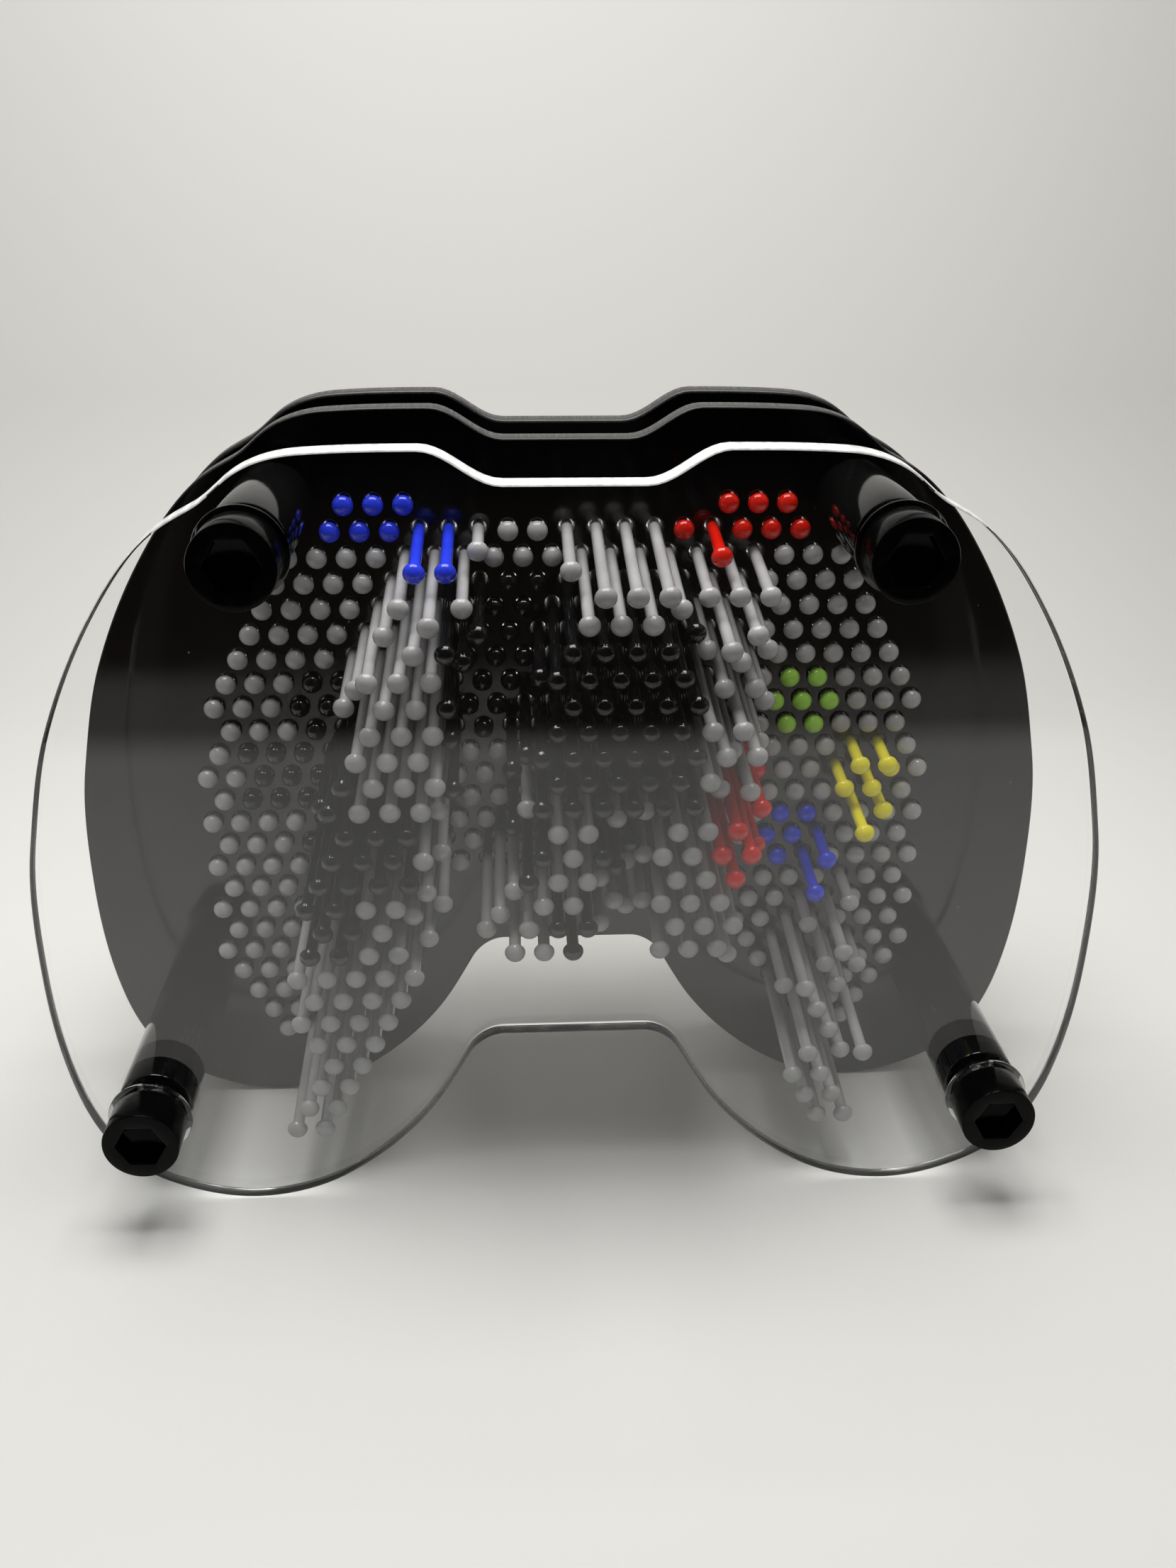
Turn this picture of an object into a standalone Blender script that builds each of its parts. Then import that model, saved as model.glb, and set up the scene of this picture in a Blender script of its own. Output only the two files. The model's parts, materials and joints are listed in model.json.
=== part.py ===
"""Pin art impression toy in the outline of a game controller.

Frame: +X to the right of someone facing the clear cover, +Y from the cover to the back, +Z up.
The lower lobes of the three plates stand on z = 0, and x = 0 is the plane of symmetry.
All lengths are in metres.
"""

import math

import bmesh
import bpy
from mathutils import Matrix, Vector

MM = 0.001

# Plates, seen from the front
COVER_THICKNESS = 4.0 * MM
PLATE_THICKNESS = 4.0 * MM
RELIEF_GAP = 26.5 * MM          # from the back of the cover to the front of the pin plate
PLATE_GAP = 11.3 * MM           # between the pin plate and the rear frame
OUTLINE_STEPS = 4               # straight pieces to each stretch of an outline

# Pin field: staggered rows, numbered from 1 at the top, with columns counted from column 8 on x = 0
COLUMN_PITCH = 4.5 * MM
ROW_PITCH = 4.06 * MM
FIRST_ROW_Z = 107.4 * MM
MIDDLE_COLUMN = 8.0

# Pins
HEAD_RADIUS = 1.62 * MM
HEAD_THICKNESS = 1.8 * MM
SHAFT_RADIUS = 0.93 * MM
HOLE_RADIUS = 1.36 * MM
PIN_TRAVEL = 24.0 * MM
PIN_TAIL = 1.2 * MM             # shaft left behind the rear frame when a pin is fully forward
PIN_DROOP = math.radians(8)     # the loose pins hang down by this much towards the front
PIN_SIDES = 8

# Corner posts
POST_RADIUS = 5.85 * MM
POST_BORE = 2.4 * MM
POST_SIDES = 20
UPPER_POST = (43.9 * MM, 107.8 * MM)
LOWER_POST = (66.7 * MM, 17.1 * MM)
CAP_LENGTH = 6.4 * MM
CAP_CHAMFER = 0.35 * MM
HEX_RADIUS = 3.9 * MM
HEX_DEPTH = 4.0 * MM
WASHER_RADIUS = 6.5 * MM
WASHER_THICKNESS = 0.6 * MM
SPACER_RADIUS = 4.2 * MM
SCREW_RADIUS = 2.0 * MM
NUT_RADIUS = 4.2 * MM
NUT_LENGTH = 6.0 * MM
NUT_CHAMFER = 0.6 * MM
NUT_FLOOR = 1.5 * MM            # solid end of the cap nut

GAP = 0.3 * MM                  # kept between pieces that touch

# Positions along Y. The front of the caps and the tails of the resting pins are equally far from y = 0.
SHAFT_LENGTH = GAP + 2 * PLATE_THICKNESS + PLATE_GAP + PIN_TRAVEL + PIN_TAIL
CAP_TO_PLATE = CAP_LENGTH + WASHER_THICKNESS + 2 * GAP + COVER_THICKNESS + RELIEF_GAP
PLATE_TO_HEAD = PLATE_THICKNESS / 2 + GAP   # along a resting pin, from mid plate to its head
PLATE_TO_TAIL = PLATE_THICKNESS / 2 + (SHAFT_LENGTH - PLATE_TO_HEAD) * math.cos(PIN_DROOP)
FRONT_PLATE_Y = (CAP_TO_PLATE - PLATE_TO_TAIL) / 2
COVER_Y = FRONT_PLATE_Y - RELIEF_GAP - COVER_THICKNESS
REAR_PLATE_Y = FRONT_PLATE_Y + PLATE_THICKNESS + PLATE_GAP
REAR_FACE_Y = REAR_PLATE_Y + PLATE_THICKNESS

# Right half of the outline, clockwise from the top notch: x and z in millimetres, and the
# direction of travel in degrees from +X.
OUTLINE = (
    (9.5, 116.5, 0),
    (20.5, 121.1, 0),
    (36.0, 120.7, -4),
    (44.3, 118.2, -32),
    (50.2, 113.7, -28),
    (55.4, 110.6, -38),
    (65.5, 98.3, -58),
    (73.6, 81.8, -69),
    (78.1, 64.4, -78),
    (79.7, 43.0, -90),
    (77.3, 20.5, -104),
    (71.6, 8.5, -130),
    (60.5, 1.6, -161),
    (51.5, 0.0, -180),
    (36.0, 4.5, -212),
    (22.2, 17.3, -234),
    (16.4, 27.1, -241),
    (11.0, 30.7, -180),
)

# Right half of the window in the rear frame, written the same way.
WINDOW = (
    (26.0, 112.6, 0),
    (35.6, 110.0, -58),
    (39.4, 104.3, -35),
    (44.5, 103.2, -8),
    (49.8, 97.0, -58),
    (57.2, 82.0, -64),
    (61.5, 68.0, -80),
    (62.6, 50.0, -90),
    (61.6, 32.0, -102),
    (57.0, 20.5, -122),
    (49.5, 12.4, -155),
    (43.0, 11.6, -195),
    (36.0, 15.5, -226),
    (22.8, 38.5, -241),
    (17.5, 42.0, -180),
)

# Materials: colour, roughness, transmission
MATERIALS = {
    "clear_acrylic": ((0.92, 0.94, 0.95), 0.03, 1.0),
    "black_acrylic": ((0.008, 0.008, 0.009), 0.08, 0.0),
    "black_plastic": ((0.012, 0.012, 0.014), 0.25, 0.0),
    "pin_grey": ((0.42, 0.42, 0.45), 0.3, 0.0),
    "pin_black": ((0.015, 0.016, 0.018), 0.2, 0.0),
    "pin_blue": ((0.03, 0.08, 0.62), 0.3, 0.0),
    "pin_red": ((0.62, 0.03, 0.02), 0.3, 0.0),
    "pin_green": ((0.28, 0.52, 0.08), 0.3, 0.0),
    "pin_yellow": ((0.85, 0.68, 0.06), 0.3, 0.0),
}

# One pin stands for each patch of the pin field: name, row, column, how far it is pushed forward
# in millimetres, and colour.
PINS = (
    ("pin_blue_rest", 1, 1.5, 0.0, "pin_blue"),
    ("pin_blue_raised", 2, 3, 15.3, "pin_blue"),
    ("pin_red_rest", 1, 14.5, 0.0, "pin_red"),
    ("pin_red_raised", 2, 13, 10.4, "pin_red"),
    ("pin_top_notch", 2, 6, 0.0, "pin_grey"),
    ("pin_top_band", 2, 10, 24.0, "pin_grey"),
    ("pin_left_shoulder", 3, 2.5, 18.0, "pin_grey"),
    ("pin_left_band", 7, 2.5, 24.0, "pin_grey"),
    ("pin_left_lobe", 19, 0.5, 24.0, "pin_grey"),
    ("pin_left_inner_edge", 14, 3, 20.0, "pin_grey"),
    ("pin_left_inner_slope", 13, 3.5, 15.5, "pin_grey"),
    ("pin_left_flank_upper", 6, -1, 0.0, "pin_grey"),
    ("pin_left_flank_lower", 17, -3.5, 0.0, "pin_grey"),
    ("pin_cross_rest", 12, -2, 0.0, "pin_black"),
    ("pin_cross_raised", 12, 1, 24.0, "pin_black"),
    ("pin_pad_rest", 6, 6, 0.0, "pin_black"),
    ("pin_pad_raised", 6, 9, 24.0, "pin_black"),
    ("pin_pad_edge", 8, 4, 18.0, "pin_black"),
    ("pin_trough", 13, 4.5, 0.0, "pin_grey"),
    ("pin_centre_raised", 13, 8.5, 24.0, "pin_grey"),
    ("pin_centre_left", 14, 6, 20.0, "pin_grey"),
    ("pin_centre_right", 15, 9.5, 17.0, "pin_grey"),
    ("pin_right_shoulder", 3, 13.5, 15.0, "pin_grey"),
    ("pin_right_band_upper", 7, 13.5, 24.0, "pin_grey"),
    ("pin_right_band_edge", 6, 14, 19.0, "pin_grey"),
    ("pin_right_band_lower", 14, 12, 24.0, "pin_grey"),
    ("pin_red_cluster", 12, 14, 24.0, "pin_red"),
    ("pin_green_cluster", 9, 16.5, 0.0, "pin_green"),
    ("pin_yellow_cluster", 12, 19, 6.0, "pin_yellow"),
    ("pin_blue_cluster", 15, 16.5, 0.0, "pin_blue"),
    ("pin_blue_cluster_raised", 16, 17, 10.5, "pin_blue"),
    ("pin_right_flank_upper", 6, 17, 0.0, "pin_grey"),
    ("pin_right_flank_lower", 17, 19.5, 0.0, "pin_grey"),
    ("pin_right_lobe_foot", 17, 18.5, 7.5, "pin_grey"),
    ("pin_right_lobe_slope", 20, 18, 12.5, "pin_grey"),
    ("pin_right_lobe_edge", 20, 17, 18.5, "pin_grey"),
    ("pin_right_lobe_raised", 22, 17, 24.0, "pin_grey"),
)

CORNERS = {
    "upper_left": (-UPPER_POST[0], UPPER_POST[1]),
    "upper_right": UPPER_POST,
    "lower_left": (-LOWER_POST[0], LOWER_POST[1]),
    "lower_right": LOWER_POST,
}

TURN_TO_Y = Matrix.Rotation(math.radians(90), 4, "X")     # local +Z becomes -Y


def clear_scene():
    for thing in list(bpy.data.objects):
        bpy.data.objects.remove(thing, do_unlink=True)


def new_collection(name):
    made = bpy.data.collections.new(name)
    bpy.context.scene.collection.children.link(made)
    return made


def make_material(name, colour, roughness, transmission):
    made = bpy.data.materials.new(name)
    made.use_nodes = True
    surface = made.node_tree.nodes["Principled BSDF"]
    surface.inputs["Base Color"].default_value = (*colour, 1.0)
    surface.inputs["Roughness"].default_value = roughness
    surface.inputs["Metallic"].default_value = 0.0
    surface.inputs["Transmission Weight"].default_value = transmission
    return made


def add_part(name, mesh, collection, material, matrix):
    """Put a mesh in the scene as one part, with its own copy of a material."""
    made = bpy.data.objects.new(name, mesh)
    made.matrix_world = matrix
    own = MATERIAL_OF[material].copy()
    own.name = name + "_" + material
    mesh.materials.clear()
    mesh.materials.append(own)
    collection.objects.link(made)
    return made


def finish_round(thing, angle=35):
    thing.data.shade_smooth()
    thing.data.set_sharp_from_angle(angle=math.radians(angle))


def whole_loop(half):
    """Both sides of a half outline as (point, direction), clockwise from the top."""
    right = []
    for x, z, degrees in half:
        turn = math.radians(degrees)
        right.append((Vector((x * MM, z * MM, 0)), Vector((math.cos(turn), math.sin(turn), 0))))
    left = []
    for point, way in reversed(right):
        left.append((Vector((-point.x, point.y, 0)), Vector((way.x, -way.y, 0))))
    return right + left


def add_loop(curve, half):
    loop = whole_loop(half)
    spline = curve.splines.new("BEZIER")
    spline.bezier_points.add(len(loop) - 1)
    spline.use_cyclic_u = True
    spline.resolution_u = OUTLINE_STEPS
    for index, (point, way) in enumerate(loop):
        before = (loop[index - 1][0] - point).length / 3
        after = (loop[(index + 1) % len(loop)][0] - point).length / 3
        corner = spline.bezier_points[index]
        corner.handle_left_type = "FREE"
        corner.handle_right_type = "FREE"
        corner.co = point
        corner.handle_left = point - way * before
        corner.handle_right = point + way * after


def plate_blank(thickness, loops):
    """A flat plate inside the first loop and outside the others, centred on its own mid plane."""
    curve = bpy.data.curves.new("outline", "CURVE")
    curve.dimensions = "2D"
    curve.fill_mode = "BOTH"
    curve.extrude = thickness / 2
    for half in loops:
        add_loop(curve, half)
    source = bpy.data.objects.new("outline", curve)
    bpy.context.scene.collection.objects.link(source)
    depsgraph = bpy.context.evaluated_depsgraph_get()
    mesh = bpy.data.meshes.new_from_object(source.evaluated_get(depsgraph))
    bpy.data.objects.remove(source, do_unlink=True)
    shape = bmesh.new()
    shape.from_mesh(mesh)
    bmesh.ops.remove_doubles(shape, verts=shape.verts, dist=0.00001)
    bmesh.ops.dissolve_limit(
        shape, angle_limit=math.radians(0.1), use_dissolve_boundaries=False,
        verts=shape.verts, edges=shape.edges, delimit=set(),
    )
    bmesh.ops.recalc_face_normals(shape, faces=shape.faces)
    shape.to_mesh(mesh)
    shape.free()
    return mesh


def drill_mesh(holes, length):
    """Straight drills along local Z: holes is a list of (x, z, radius, sides)."""
    shape = bmesh.new()
    for x, z, radius, sides in holes:
        bmesh.ops.create_cone(
            shape, cap_ends=True, segments=sides, radius1=radius, radius2=radius, depth=length,
            matrix=Matrix.Translation((x, z, 0)),
        )
    mesh = bpy.data.meshes.new("drills")
    shape.to_mesh(mesh)
    shape.free()
    return mesh


def cut(part, cutter_mesh, cutters, matrix):
    """Take a cutter mesh out of a part."""
    cutter = bpy.data.objects.new(part.name + "_cutter", cutter_mesh)
    cutter.matrix_world = matrix
    cutter.hide_render = True
    cutter.display_type = "WIRE"
    cutters.objects.link(cutter)
    knife = part.modifiers.new("cut", "BOOLEAN")
    knife.operation = "DIFFERENCE"
    knife.solver = "EXACT"
    knife.object = cutter


def turned(name, profile, sides, hollow=False):
    """A mesh turned about local Z from (radius, height) corners, top to bottom on the outer side.

    A hollow one has its last corner joined back to its first.
    """
    shape = bmesh.new()
    corners = [shape.verts.new((radius, 0, height)) for radius, height in profile]
    for upper, lower in zip(corners, corners[1:]):
        shape.edges.new((upper, lower))
    if hollow:
        shape.edges.new((corners[-1], corners[0]))
    wire = bpy.data.meshes.new(name)
    shape.to_mesh(wire)
    shape.free()
    source = bpy.data.objects.new(name, wire)
    bpy.context.scene.collection.objects.link(source)
    screw = source.modifiers.new("turn", "SCREW")
    screw.steps = sides
    screw.render_steps = sides
    screw.use_merge_vertices = True
    screw.merge_threshold = 0.00001
    depsgraph = bpy.context.evaluated_depsgraph_get()
    mesh = bpy.data.meshes.new_from_object(source.evaluated_get(depsgraph))
    mesh.name = name
    bpy.data.objects.remove(source, do_unlink=True)
    return mesh


def tube_mesh(name, radius, length):
    """A tube along local Z from height 0 down to -length, with the bore of the posts."""
    return turned(name, (
        (POST_BORE, 0),
        (radius, 0),
        (radius, -length),
        (POST_BORE, -length),
    ), POST_SIDES, hollow=True)


def at(x, y, z):
    """Place a mesh that was made along local Z, so that its top faces the front."""
    return Matrix.Translation((x, y, z)) @ TURN_TO_Y


def pin_place(row, column):
    x = (column - MIDDLE_COLUMN) * COLUMN_PITCH
    z = FIRST_ROW_Z - (row - 1) * ROW_PITCH
    return x, z


def post_holes():
    return [(x, z, POST_BORE, POST_SIDES) for x, z in CORNERS.values()]


def pin_holes():
    holes = []
    for _, row, column, _, _ in PINS:
        x, z = pin_place(row, column)
        holes.append((x, z, HOLE_RADIUS, PIN_SIDES))
    return holes


def build_plate(name, front_y, thickness, material, holes, *windows):
    middle = at(0, front_y + thickness / 2, 0)
    blank = plate_blank(thickness, (OUTLINE, *windows))
    plate = add_part(name, blank, PARTS, material, middle)
    cut(plate, drill_mesh(holes, 3 * thickness), CUTTERS, middle)


def build_plates():
    posts = post_holes()
    build_plate("front_cover", COVER_Y, COVER_THICKNESS, "clear_acrylic", posts)
    build_plate("pin_plate", FRONT_PLATE_Y, PLATE_THICKNESS, "black_acrylic", posts + pin_holes())
    build_plate("rear_frame", REAR_PLATE_Y, PLATE_THICKNESS, "black_acrylic", posts, WINDOW)


def screw_mesh():
    """Socket cap screw along local Z, with the front of its head at height 0."""
    tip = REAR_FACE_Y + NUT_LENGTH - NUT_FLOOR - (COVER_Y - 2 * GAP - WASHER_THICKNESS - CAP_LENGTH)
    shank = tip - GAP
    return turned("socket_cap", (
        (0, 0),
        (POST_RADIUS - CAP_CHAMFER, 0),
        (POST_RADIUS, -CAP_CHAMFER),
        (POST_RADIUS, -CAP_LENGTH),
        (SCREW_RADIUS, -CAP_LENGTH),
        (SCREW_RADIUS, -shank),
        (0, -shank),
    ), POST_SIDES)


def build_post(corner, x, z):
    """The stack of pieces on one corner axis, from the cap in front to the nut at the back."""
    cap_y = COVER_Y - 2 * GAP - WASHER_THICKNESS - CAP_LENGTH
    screw = add_part("cap_screw_" + corner, screw_mesh(), PARTS, "black_plastic", at(x, cap_y, z))
    cut(screw, drill_mesh([(0, 0, HEX_RADIUS, 6)], 2 * HEX_DEPTH), CUTTERS, at(x, cap_y, z))
    finish_round(screw)

    tubes = (
        ("cover_washer", WASHER_RADIUS, COVER_Y - GAP - WASHER_THICKNESS, WASHER_THICKNESS,
         "clear_acrylic"),
        ("post_sleeve", POST_RADIUS, COVER_Y + COVER_THICKNESS + GAP, RELIEF_GAP - 2 * GAP,
         "black_plastic"),
        ("plate_spacer", SPACER_RADIUS, FRONT_PLATE_Y + PLATE_THICKNESS + GAP,
         PLATE_GAP - 2 * GAP, "black_plastic"),
    )
    for name, radius, y, length, material in tubes:
        mesh = tube_mesh(name, radius, length)
        tube = add_part(name + "_" + corner, mesh, PARTS, material, at(x, y, z))
        finish_round(tube)

    nut_length = NUT_LENGTH - GAP
    nut_mesh = turned("cap_nut", (
        (0, NUT_FLOOR - nut_length),
        (POST_BORE, NUT_FLOOR - nut_length),
        (POST_BORE, 0),
        (NUT_RADIUS, 0),
        (NUT_RADIUS, NUT_CHAMFER - nut_length),
        (NUT_RADIUS - NUT_CHAMFER, -nut_length),
        (0, -nut_length),
    ), POST_SIDES)
    nut = add_part("cap_nut_" + corner, nut_mesh, PARTS, "black_plastic",
                   at(x, REAR_FACE_Y + GAP, z))
    finish_round(nut)


def pin_mesh():
    """A pin along local Z: domed head in front, its back at height 0, and a long shaft."""
    shaft = SHAFT_LENGTH
    return turned("pin", (
        (0, HEAD_THICKNESS),
        (HEAD_RADIUS * 0.62, HEAD_THICKNESS * 0.87),
        (HEAD_RADIUS * 0.95, HEAD_THICKNESS * 0.55),
        (HEAD_RADIUS, HEAD_THICKNESS * 0.34),
        (HEAD_RADIUS * 0.86, HEAD_THICKNESS * 0.08),
        (SHAFT_RADIUS, 0),
        (SHAFT_RADIUS, 0.4 * SHAFT_RADIUS - shaft),
        (SHAFT_RADIUS * 0.6, -shaft),
        (0, -shaft),
    ), PIN_SIDES)


def build_pins():
    shape = pin_mesh()
    for name, row, column, forward, colour in PINS:
        x, z = pin_place(row, column)
        hole = at(x, FRONT_PLATE_Y + PLATE_THICKNESS / 2, z) @ Matrix.Rotation(PIN_DROOP, 4, "X")
        head = Matrix.Translation((0, 0, PLATE_TO_HEAD + forward * MM))
        pin = add_part(name, shape.copy(), PARTS, colour, hole @ head)
        finish_round(pin)


clear_scene()
PARTS = new_collection("pin_art_impression_toy")
CUTTERS = new_collection("cutters")
MATERIAL_OF = {name: make_material(name, *values) for name, values in MATERIALS.items()}
build_plates()
for corner_name, (corner_x, corner_z) in CORNERS.items():
    build_post(corner_name, corner_x, corner_z)
build_pins()
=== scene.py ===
"""Looks of the pin art impression toy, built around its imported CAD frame.

Everything is in metres in the frame of the CAD: +X to the right of someone facing the clear cover,
+Y from the cover to the back, +Z up, and the toy stands on z = 0.
"""

import json
import math
import random

import bmesh
import bpy
from mathutils import Matrix, Vector


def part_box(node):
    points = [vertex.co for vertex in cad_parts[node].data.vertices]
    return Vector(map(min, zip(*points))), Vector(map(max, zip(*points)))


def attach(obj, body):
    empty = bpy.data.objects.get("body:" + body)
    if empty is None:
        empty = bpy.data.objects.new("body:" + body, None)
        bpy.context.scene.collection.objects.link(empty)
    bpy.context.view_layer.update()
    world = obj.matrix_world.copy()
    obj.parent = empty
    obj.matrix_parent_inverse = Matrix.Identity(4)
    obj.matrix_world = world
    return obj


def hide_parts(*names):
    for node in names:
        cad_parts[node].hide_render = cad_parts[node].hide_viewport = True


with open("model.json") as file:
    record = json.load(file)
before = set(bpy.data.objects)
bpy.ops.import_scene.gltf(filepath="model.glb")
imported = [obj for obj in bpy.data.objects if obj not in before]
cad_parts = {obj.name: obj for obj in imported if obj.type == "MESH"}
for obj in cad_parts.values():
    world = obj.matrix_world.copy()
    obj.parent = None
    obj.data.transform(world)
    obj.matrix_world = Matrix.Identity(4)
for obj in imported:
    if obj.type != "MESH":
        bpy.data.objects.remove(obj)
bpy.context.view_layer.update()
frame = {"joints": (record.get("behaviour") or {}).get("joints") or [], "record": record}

MM = 0.001

# ---------------------------------------------------------------- sizes

WELD = 0.004 * MM               # corners of a mesh closer than this are one
OUTLINE_STEPS = 10
HOLE_STEPS = 3                  # straight pieces to each quarter of a hole

EDGE_CLEAR_Z = 80 * MM          # the cover's edge is clear up to here, and painted white from here up: painted light
EDGE_PAINTED_WHITE_Z = 108 * MM         # and white with gathered light from here up

COLUMN_PITCH = 4.5 * MM
ROW_PITCH = 4.06 * MM
FIRST_ROW_Z = 107.4 * MM
MIDDLE_COLUMN = 8.0
LEFT_COLUMN = -5.0

HEAD_RADIUS = 1.62 * MM
HEAD_THICKNESS = 1.8 * MM
HEAD_WIDEST = 0.34              # height of the widest ring of a CAD head, as a share of its thickness
DOME_START = 0.22               # height at which the round dome of a head starts, the same way
SHAFT_RADIUS = 0.93 * MM
SHAFT_LENGTH = 44.8 * MM
PIN_HOLE_RADIUS = 1.3 * MM
PIN_DROOP = math.radians(8)     # the loose pins hang down by this much towards the front
PLATE_TO_HEAD = 2.3 * MM        # along a resting pin, from the middle of its hole to its head
PIN_SIDES = 18
TAIL_TAPER = 0.9 * MM

POST_RADIUS = 5.85 * MM
POST_BORE = 2.4 * MM
POST_SIDES = 72
SCREW_RADIUS = 2.0 * MM
HEX_RADIUS = 3.9 * MM
HEX_DEPTH = 4.0 * MM
CAP_ROUND = 0.22 * MM
CAP_LENGTH = 6.4 * MM
WASHER_ROUND = 0.2 * MM
SLEEVE_ROUND = 0.25 * MM
NUT_CROWN = 1.5 * MM            # solid end of a nut behind the screw

COVER_ROUND = 0.35 * MM         # how far the rims of each sheet are rounded
PIN_SHEET_ROUND = 0.28 * MM
REAR_SHEET_ROUND = 0.5 * MM
POST_HOLE_STEPS = 8

# Right half of the sheets' outline, clockwise from the top notch: x and z in millimetres, and the
# direction of travel in degrees from +X.
OUTLINE = (
    (9.5, 116.5, 0),
    (20.5, 121.1, 0),
    (36.0, 120.7, -4),
    (44.3, 118.2, -32),
    (50.2, 113.7, -28),
    (55.4, 110.6, -38),
    (65.5, 98.3, -58),
    (73.6, 81.8, -69),
    (78.1, 64.4, -78),
    (79.7, 43.0, -90),
    (77.3, 20.5, -104),
    (71.6, 8.5, -130),
    (60.5, 1.6, -161),
    (51.5, 0.0, -180),
    (36.0, 4.5, -212),
    (22.2, 17.3, -234),
    (16.4, 27.1, -241),
    (11.0, 30.7, -180),
)

# Right half of the window in the rear frame, written the same way.
WINDOW = (
    (26.0, 112.6, 0),
    (35.6, 110.0, -58),
    (39.4, 104.3, -35),
    (44.5, 103.2, -8),
    (49.8, 97.0, -58),
    (57.2, 82.0, -64),
    (61.5, 68.0, -80),
    (62.6, 50.0, -90),
    (61.6, 32.0, -102),
    (57.0, 20.5, -122),
    (49.5, 12.4, -155),
    (43.0, 11.6, -195),
    (36.0, 15.5, -226),
    (22.8, 38.5, -241),
    (17.5, 42.0, -180),
)

# The pin field, one line for each row from the top and two characters to each column. A dot is a
# resting pin. Any other sign is how far a pin is pushed forward, in millimetres: 1 to 9, then
# a for 10, b for 11 and so on to o for 24.
FIELD = (
    "           . . .                     . . .",
    "          . . . g f 8 . . e o o o . a . . .",
    "       . . . . i n i . . . o o o j g f d . . .",
    "      . . . . i o o g . . o o o o i o k . . . .",
    "     . . . . n o o i . . n o o o o f l f . . . .",
    "    . . . . j o o o 2 . f o o o o o i j . . . . .",
    "   . . . . f m o o . . . o o o o o o o g . . . . .",
    "  . . . . . o o o i . . o o o o o o o o . . . . . .",
    " . . . . . o o o o . . f o o o o o o f d . . . . . .",
    "  . . . . o o o o i . c o o o o o o j k . . . . . .",
    " . . . . e o o o h . . h o o l i o o o i . . . 5 5 .",
    ". . . . . o o o n . . e o o o k o o o o . . . 6 6 1 .",
    " . . . . m o o o f . . o o o k h o o o e . . . d 8 .",
    ". . . . m o o o j . . k o o h d n o o . . . 3 . . . .",
    " . . . . o o o l h . k o o o h i o o n . . . 8 . . .",
    ". . . . o o o o l . i o o o i d o o o . . . a . . . .",
    " . . . o o o o o                     l . . . . 7 . .",
    ". . . . o o o o                       . . . 5 f . . .",
    " . . . o o o o                         . . i b 2 . .",
    ". . . . o o o                           . d i d 8 . .",
    " . . . . o o                             . o l m . .",
    "  . . . o o                               o o i . .",
    "   . . o o                                 o o . .",
    "    . o o                                   o o .",
)

CLUSTERS = (                    # centre row, centre column, colour
    (9, 16.5, "green"),
    (12, 19, "yellow"),
    (12, 14, "red"),
    (15, 16.5, "blue"),
)
BUTTONS = ((12, 6), (12, 7), (13, 6.5), (12, 9), (12, 10), (13, 9.5), (15, 7.5), (15, 8.5), (16, 8))


# ---------------------------------------------------------------- materials


def node(tree, kind, **settings):
    made = tree.nodes.new(kind)
    for key, value in settings.items():
        setattr(made, key, value)
    return made


def new_material(name):
    made = bpy.data.materials.new(name)
    made.use_nodes = True
    return made, made.node_tree, made.node_tree.nodes["Principled BSDF"]


def object_point(tree):
    return node(tree, "ShaderNodeTexCoord").outputs["Object"]


def stretched(tree, point, scale):
    made = node(tree, "ShaderNodeMapping")
    made.inputs["Scale"].default_value = scale
    tree.links.new(point, made.inputs["Vector"])
    return made.outputs["Vector"]


def noise(tree, point, scale, detail=2.0, rough=0.5):
    made = node(tree, "ShaderNodeTexNoise")
    made.inputs["Scale"].default_value = scale
    made.inputs["Detail"].default_value = detail
    made.inputs["Roughness"].default_value = rough
    tree.links.new(point, made.inputs["Vector"])
    return made.outputs["Fac"]


def remap(tree, value, low, high, to_low, to_high):
    made = node(tree, "ShaderNodeMapRange")
    made.inputs["From Min"].default_value = low
    made.inputs["From Max"].default_value = high
    made.inputs["To Min"].default_value = to_low
    made.inputs["To Max"].default_value = to_high
    tree.links.new(value, made.inputs["Value"])
    return made.outputs["Result"]


def mix_colours(tree, share, first, second):
    made = node(tree, "ShaderNodeMix", data_type="RGBA")
    made.inputs["A"].default_value = (*first, 1.0)
    made.inputs["B"].default_value = (*second, 1.0)
    tree.links.new(share, made.inputs["Factor"])
    return made.outputs["Result"]


def bump(tree, height, strength, distance):
    made = node(tree, "ShaderNodeBump")
    made.inputs["Strength"].default_value = strength
    made.inputs["Distance"].default_value = distance
    tree.links.new(height, made.inputs["Height"])
    return made.outputs["Normal"]


def specks(tree, point, scale, size, share):
    """1 on small round specks, scattered one to a cell in a share of the cells, and 0 elsewhere."""
    cells = node(tree, "ShaderNodeTexVoronoi")
    cells.inputs["Scale"].default_value = scale
    tree.links.new(point, cells.inputs["Vector"])
    near = node(tree, "ShaderNodeMath", operation="LESS_THAN")
    near.inputs[1].default_value = size
    tree.links.new(cells.outputs["Distance"], near.inputs[0])
    split = node(tree, "ShaderNodeSeparateColor")
    tree.links.new(cells.outputs["Color"], split.inputs["Color"])
    chosen = node(tree, "ShaderNodeMath", operation="LESS_THAN")
    chosen.inputs[1].default_value = share
    tree.links.new(split.outputs["Red"], chosen.inputs[0])
    both = node(tree, "ShaderNodeMath", operation="MULTIPLY")
    tree.links.new(near.outputs["Value"], both.inputs[0])
    tree.links.new(chosen.outputs["Value"], both.inputs[1])
    return both.outputs["Value"]


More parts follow.
